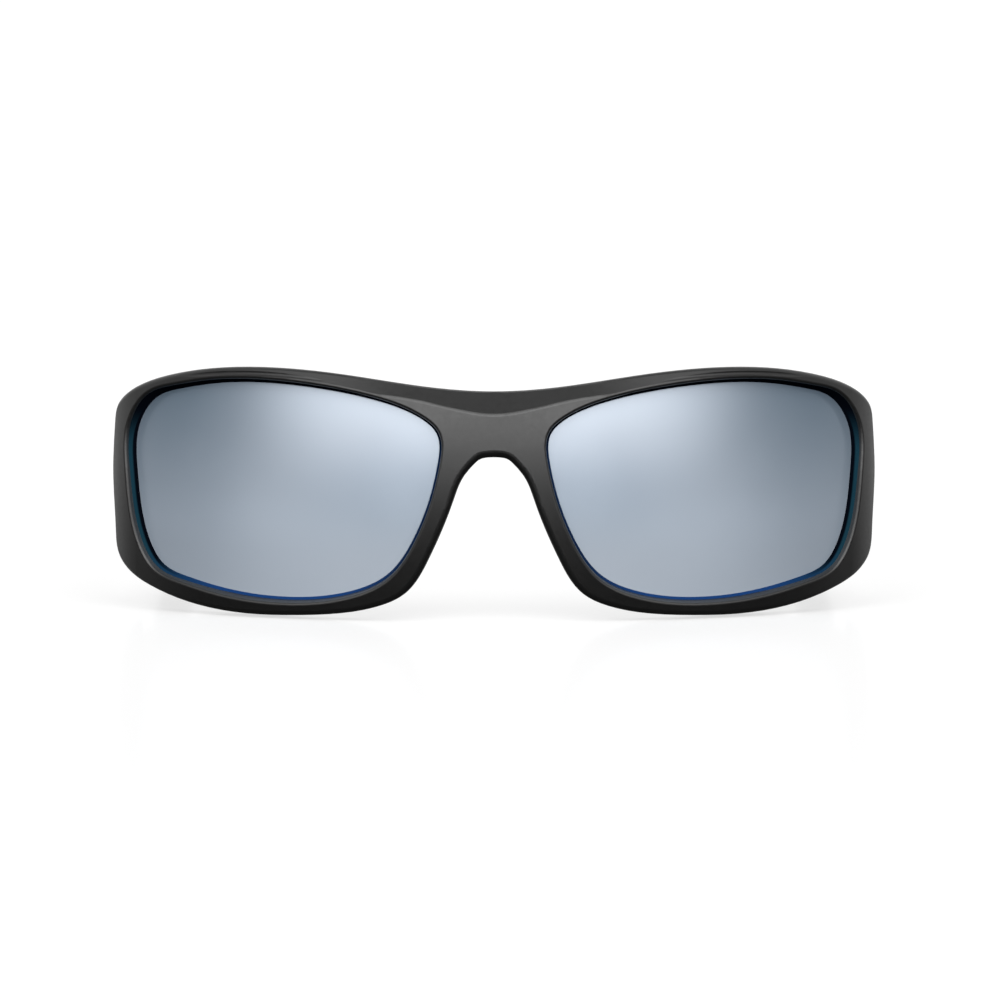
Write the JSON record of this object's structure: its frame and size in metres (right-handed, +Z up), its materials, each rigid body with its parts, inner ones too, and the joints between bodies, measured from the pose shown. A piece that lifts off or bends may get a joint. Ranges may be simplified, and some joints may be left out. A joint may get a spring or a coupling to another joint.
{
  "type": "glacier glasses",
  "caption": "Wraparound mountain sunglasses with mirror lenses, wide folding temples, soft ear tips drilled for a retaining cord, and soft nose pads.",
  "frame": {"origin": "middle of the open glasses' box, at the surface they stand on", "axes": "+Z up, +X towards the wearer's left, the wearer looks along -Y, temples run along +Y"},
  "size_m": [0.138, 0.1569, 0.0452],
  "materials": {
    "frame": "soft-touch matte black injection-moulded nylon",
    "mirror_lens": "silver-blue mirror coating on a polycarbonate lens",
    "soft_rubber": "soft matte black elastomer",
    "spring_steel": "flat spring steel strip",
    "hinge_steel": "tumbled nickel silver",
    "screw_steel": "plain steel"
  },
  "bodies": {
    "front": {"frame_front": "frame", "left_lens": "mirror_lens", "left_nose_pad": "soft_rubber", "left_endpiece_hinge_leaf": "hinge_steel", "left_hinge_screw": "screw_steel", "left_endpiece_leaf_screws": "screw_steel", "right_lens": "mirror_lens", "right_nose_pad": "soft_rubber", "right_endpiece_hinge_leaf": "hinge_steel", "right_hinge_screw": "screw_steel", "right_endpiece_leaf_screws": "screw_steel"},
    "left_temple_arm": {"left_temple": "frame", "left_ear_tip": "soft_rubber", "left_tip_core": "spring_steel", "left_temple_hinge_leaf": "hinge_steel", "left_temple_leaf_screws": "screw_steel"},
    "right_temple_arm": {"right_temple": "frame", "right_ear_tip": "soft_rubber", "right_tip_core": "spring_steel", "right_temple_hinge_leaf": "hinge_steel", "right_temple_leaf_screws": "screw_steel"}
  },
  "joints": [
    {"name": "left_temple_fold", "type": "hinge", "parent": "front", "child": "left_temple_arm", "pos_m": [0.0617, -0.03235, 0.0206], "axis": [0, 0, 1], "range_deg": [0, 90]},
    {"name": "right_temple_fold", "type": "hinge", "parent": "front", "child": "right_temple_arm", "pos_m": [-0.0617, -0.03235, 0.0206], "axis": [0, 0, -1], "range_deg": [0, 82]}
  ]
}
